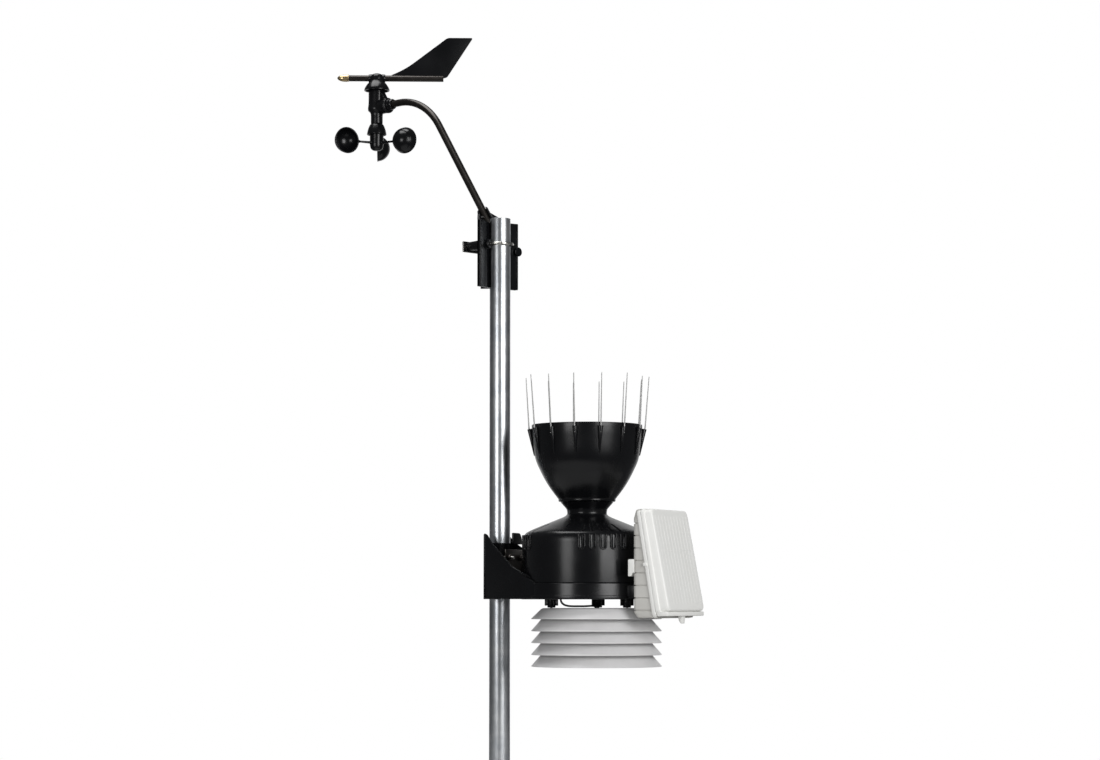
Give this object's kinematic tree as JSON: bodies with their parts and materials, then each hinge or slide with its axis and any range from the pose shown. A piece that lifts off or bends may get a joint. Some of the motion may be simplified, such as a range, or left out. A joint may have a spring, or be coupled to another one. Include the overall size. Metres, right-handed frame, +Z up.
{
  "type": "home weather station",
  "caption": "Pole-mounted weather station: wind vane and cup rotor on a bent arm, tipping-bucket rain collector with bird spikes, electronics box and louvred shield.",
  "frame": {"origin": "centre of the pole's lower end", "axes": "+Z up along the pole; the picture looks along +Y with +X to its right; the rain collector stands off the pole towards +X and slightly -Y, the wind arm towards -X +Y"},
  "size_m": [0.5825, 0.4836, 1.2813],
  "materials": {
    "black_plastic": "satin black",
    "black_anodised": "black anodised",
    "galvanised_steel": "galvanised, drawn lengthways",
    "plated_steel": "bright zinc plated",
    "stainless_steel": "satin",
    "brass": "satin",
    "white_plastic": "warm white, satin",
    "grey_plastic": "light grey, satin",
    "circuit_green": "green solder mask",
    "magnet_grey": "dark grey, smooth",
    "lead_black": "matt black"
  },
  "bodies": {
    "mast": {"mast_pole": "galvanised_steel", "arm_clamp_base": "black_plastic", "clamp_u_bolt": "plated_steel", "clamp_plate": "plated_steel", "clamp_nut_1": "plated_steel", "clamp_nut_2": "plated_steel", "arm_lock_screw": "stainless_steel", "anemometer_arm": "black_anodised", "arm_collar": "black_plastic", "head_housing": "black_plastic", "direction_sensor": "magnet_grey", "speed_switch": "stainless_steel", "rotor_bearing": "stainless_steel", "station_base": "black_plastic", "station_u_bolt_1": "plated_steel", "station_u_bolt_2": "plated_steel", "station_plate": "plated_steel", "station_nut_1": "plated_steel", "station_nut_2": "plated_steel", "station_nut_3": "plated_steel", "station_nut_4": "plated_steel", "bucket_frame": "black_plastic", "bucket_switch": "stainless_steel", "stop_screw_1": "stainless_steel", "stop_screw_2": "stainless_steel", "drain_screen_1": "grey_plastic", "drain_screen_2": "grey_plastic", "box_shell": "white_plastic", "circuit_board": "circuit_green", "battery": "grey_plastic", "shield_cap": "grey_plastic", "shield_plate_1": "grey_plastic", "shield_plate_2": "grey_plastic", "shield_plate_3": "grey_plastic", "shield_plate_4": "grey_plastic", "shield_screw_1": "stainless_steel", "shield_screw_2": "stainless_steel", "shield_screw_3": "stainless_steel", "air_sensor": "white_plastic", "sensor_lead": "lead_black"},
    "vane": {"vane_cap": "black_plastic", "vane_tube": "black_anodised", "vane_fin": "black_plastic", "vane_nose": "brass", "vane_spindle": "stainless_steel"},
    "cup_rotor": {"rotor_hub": "black_plastic", "rotor_magnet": "magnet_grey", "rotor_spindle": "stainless_steel", "wind_cup_1": "black_plastic", "wind_cup_2": "black_plastic", "wind_cup_3": "black_plastic"},
    "collector": {"rain_bowl": "black_plastic", "debris_screen": "black_plastic", "collector_skirt": "black_plastic"},
    "bucket": {"tipping_bucket": "black_plastic", "bucket_axle": "stainless_steel", "bucket_magnet": "magnet_grey"},
    "cover": {"box_cover": "white_plastic"}
  },
  "joints": [
    {"name": "vane_turn", "type": "hinge", "parent": "mast", "child": "vane", "pos_m": [-0.20549, 0.20549, 1.2136], "axis": [0, 0, 1], "continuous": true},
    {"name": "cup_spin", "type": "hinge", "parent": "mast", "child": "cup_rotor", "pos_m": [-0.20549, 0.20549, 1.107], "axis": [0, 0, 1], "continuous": true},
    {"name": "collector_lift", "type": "slide", "parent": "mast", "child": "collector", "axis": [0, 0, 1], "range_m": [0, 0.12]},
    {"name": "bucket_tip", "type": "hinge", "parent": "mast", "child": "bucket", "pos_m": [0.13321, -0.06787, 0.394], "axis": [0.454, 0.891, 0], "range_deg": [0, 28]},
    {"name": "cover_slide", "type": "slide", "parent": "mast", "child": "cover", "axis": [-0.1454, 0.0741, 0.9866], "range_m": [0, 0.1]}
  ]
}
